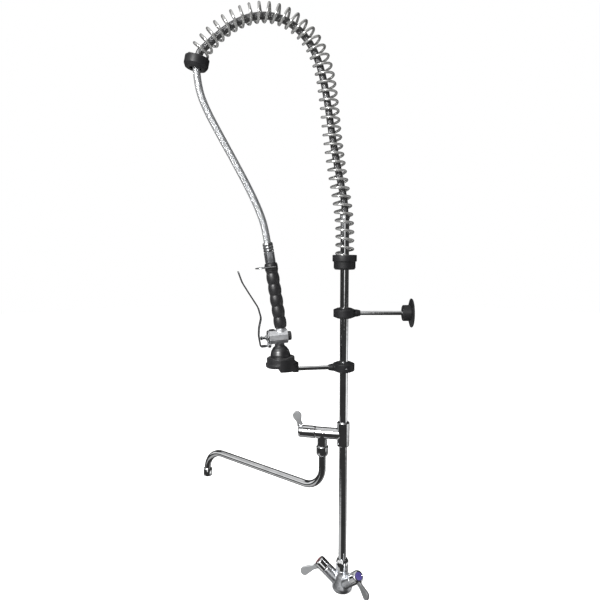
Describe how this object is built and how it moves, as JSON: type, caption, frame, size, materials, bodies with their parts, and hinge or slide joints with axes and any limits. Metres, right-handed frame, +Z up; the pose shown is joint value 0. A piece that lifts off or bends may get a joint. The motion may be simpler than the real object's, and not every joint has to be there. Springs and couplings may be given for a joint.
{
  "type": "pre rinse faucet",
  "caption": "Deck mounted pre-rinse tap: lever mixer, riser with swing spout, wall brace, spring arch, hose and squeeze spray handset in a riser holder.",
  "frame": {"origin": "centre of the foot on the deck", "axes": "+Z up along the riser, -Y towards the user, +Y towards the wall, +X to the user's right"},
  "size_m": [0.2871, 0.4816, 1.2351],
  "materials": {
    "chrome": "mirror polished plating",
    "black": "satin moulded",
    "rubber": "matt",
    "steel": "drawn",
    "hose": "fine braid under a clear skin",
    "brass": "machined",
    "blue": "gloss",
    "red": "gloss",
    "grey": "satin"
  },
  "bodies": {
    "base": {"mixer_body": "chrome", "foot_gasket": "rubber", "hot_cartridge": "brass", "cold_cartridge": "brass", "tap_cartridge": "brass", "riser_lock_nut": "chrome", "lower_riser": "chrome", "tee_body": "chrome", "upper_riser": "chrome", "spout_nut": "chrome"},
    "hot_lever": {"hot_handle": "chrome", "hot_spindle": "brass", "hot_handle_screw": "steel", "hot_index_disc": "red"},
    "cold_lever": {"cold_handle": "chrome", "cold_spindle": "brass", "cold_handle_screw": "steel", "cold_index_disc": "blue"},
    "tap_lever": {"tap_handle": "chrome", "tap_spindle": "brass", "tap_handle_screw": "steel", "tap_index_disc": "chrome"},
    "spout": {"spout_bush": "grey", "spout_tube": "chrome", "aerator_housing": "chrome", "aerator_insert": "grey"},
    "wall_bracket": {"bracket_collar": "black", "bracket_collar_set_screw": "steel", "bracket_rod": "chrome", "wall_flange": "black"},
    "holder": {"holder_collar": "black", "holder_collar_set_screw": "steel", "holder_rod": "chrome", "spray_holder": "black"},
    "arch": {"spring_base_nut": "black", "spring": "chrome", "spring_end_cap": "black", "hose_collar": "steel", "inner_hose": "hose", "hanging_hose": "hose"},
    "handset": {"grip": "rubber", "inlet_tube": "chrome", "grip_collar": "black", "hose_nut": "chrome", "hose_ferrule": "chrome", "valve_body": "chrome", "valve_front_ring": "chrome", "packing_nut": "chrome", "valve_rear_cap": "black", "flow_screw": "black", "nozzle_bell": "black", "nozzle_bumper": "rubber", "spray_face": "grey", "face_screw": "steel", "lever_pivot_pin": "chrome"},
    "trigger": {"squeeze_lever": "chrome"},
    "plunger": {"plunger": "chrome"},
    "bail": {"lock_bail": "steel"}
  },
  "joints": [
    {"name": "hot_turn", "type": "hinge", "parent": "base", "child": "hot_lever", "pos_m": [0, 0, 0.012], "axis": [-0.2077, -0.7196, 0.6626], "range_deg": [0, 90]},
    {"name": "cold_turn", "type": "hinge", "parent": "base", "child": "cold_lever", "pos_m": [0, 0, 0.012], "axis": [-0.6253, -0.4346, -0.6481], "range_deg": [0, 90]},
    {"name": "tap_turn", "type": "hinge", "parent": "base", "child": "tap_lever", "pos_m": [0, 0, 0.3548], "axis": [0.2351, 0.972, 0], "range_deg": [0, 90]},
    {"name": "spout_swing", "type": "hinge", "parent": "base", "child": "spout", "pos_m": [-0.01082, -0.04471, 0.3], "axis": [0, 0, 1], "range_deg": [-85, 150]},
    {"name": "bracket_height", "type": "slide", "parent": "base", "child": "wall_bracket", "axis": [0, 0, 1], "range_m": [-0.08, 0.06]},
    {"name": "arch_swing", "type": "hinge", "parent": "base", "child": "arch", "pos_m": [0, 0, 0.7], "axis": [0, 0, 1], "range_deg": [-90, 90]},
    {"name": "holder_turn", "type": "hinge", "parent": "base", "child": "holder", "pos_m": [0, 0, 0.503], "axis": [0, 0, 1], "range_deg": [-90, 90]},
    {"name": "handset_lift", "type": "slide", "parent": "arch", "child": "handset", "axis": [0, 0, 1], "range_m": [0, 0.045], "deforming": ["hanging_hose"]},
    {"name": "trigger_squeeze", "type": "hinge", "parent": "handset", "child": "trigger", "pos_m": [0.02774, -0.15734, 0.5541], "axis": [-0.9848, -0.1736, 0], "range_deg": [0, 11], "stiffness_Nm_per_rad": 1.5, "springref_deg": -5.73},
    {"name": "plunger_push", "type": "slide", "parent": "handset", "child": "plunger", "axis": [-0.1732, 0.9824, 0.0698], "range_m": [0, 0.0034]},
    {"name": "bail_flip", "type": "hinge", "parent": "handset", "child": "bail", "pos_m": [0.02549, -0.14456, 0.71772], "axis": [-0.9848, -0.1736, 0], "range_deg": [-8, 55]}
  ],
  "couplings": [
    {"joint": "holder_turn", "follows": "arch_swing", "ratio": 1},
    {"joint": "plunger_push", "follows": "trigger_squeeze", "m_per_rad": 0.0172}
  ]
}
